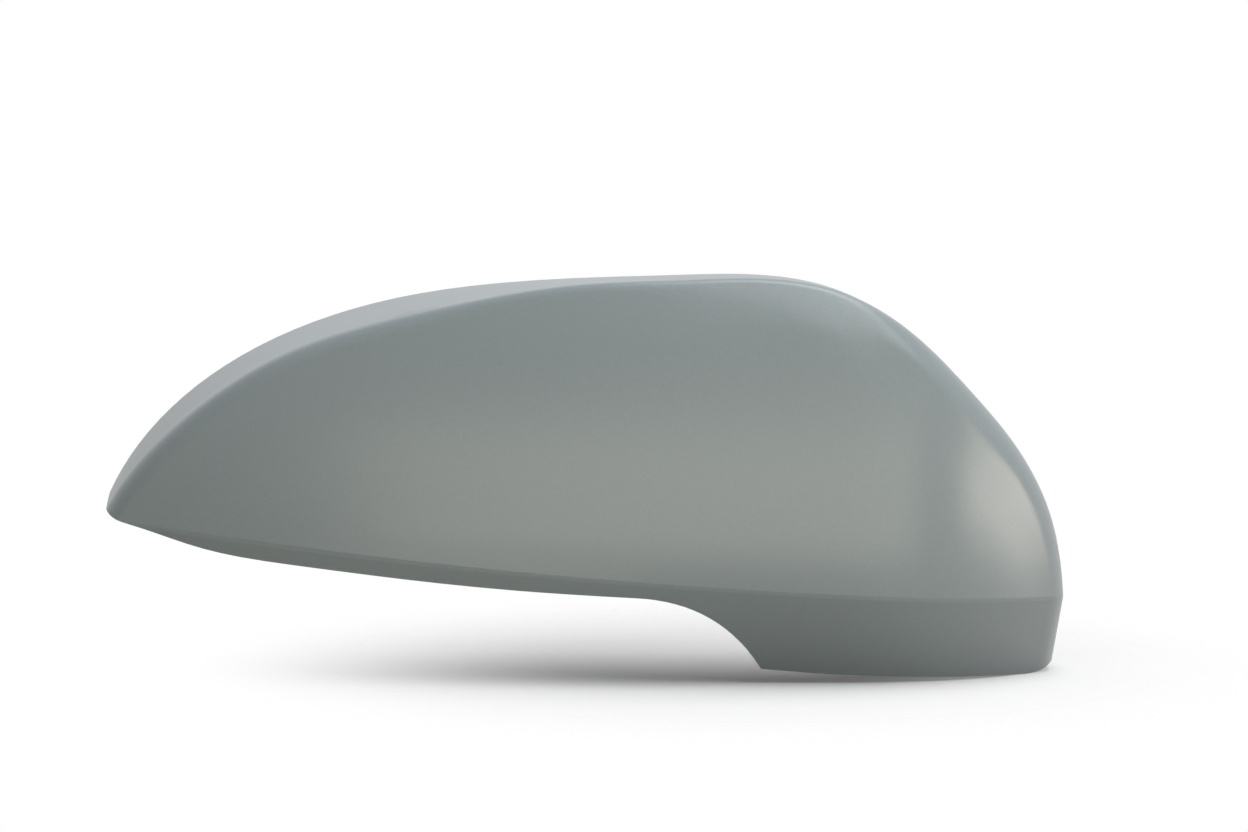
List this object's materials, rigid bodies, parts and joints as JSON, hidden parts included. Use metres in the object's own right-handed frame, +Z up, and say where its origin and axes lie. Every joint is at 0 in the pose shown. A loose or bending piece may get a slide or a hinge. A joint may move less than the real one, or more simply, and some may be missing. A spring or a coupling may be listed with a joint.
{
  "type": "door mirror cover cap",
  "caption": "Thin moulded cover cap of a car's door mirror, a smooth hood with a pointed outer end and a short inner foot, open behind and below, held by pegs and snap hooks.",
  "frame": {"origin": "on the axis of the main locating peg, at the shoulder of its boss", "axes": "as on the car: +X towards the door (the foot's end), +Y to the rear, out of the open side and along the pegs, +Z up"},
  "size_m": [0.2459, 0.0658, 0.1015],
  "materials": {
    "primer": "satin grey paint primer over moulded plastic"
  },
  "bodies": {
    "root": {"mirror_cap": "primer"}
  },
  "joints": []
}
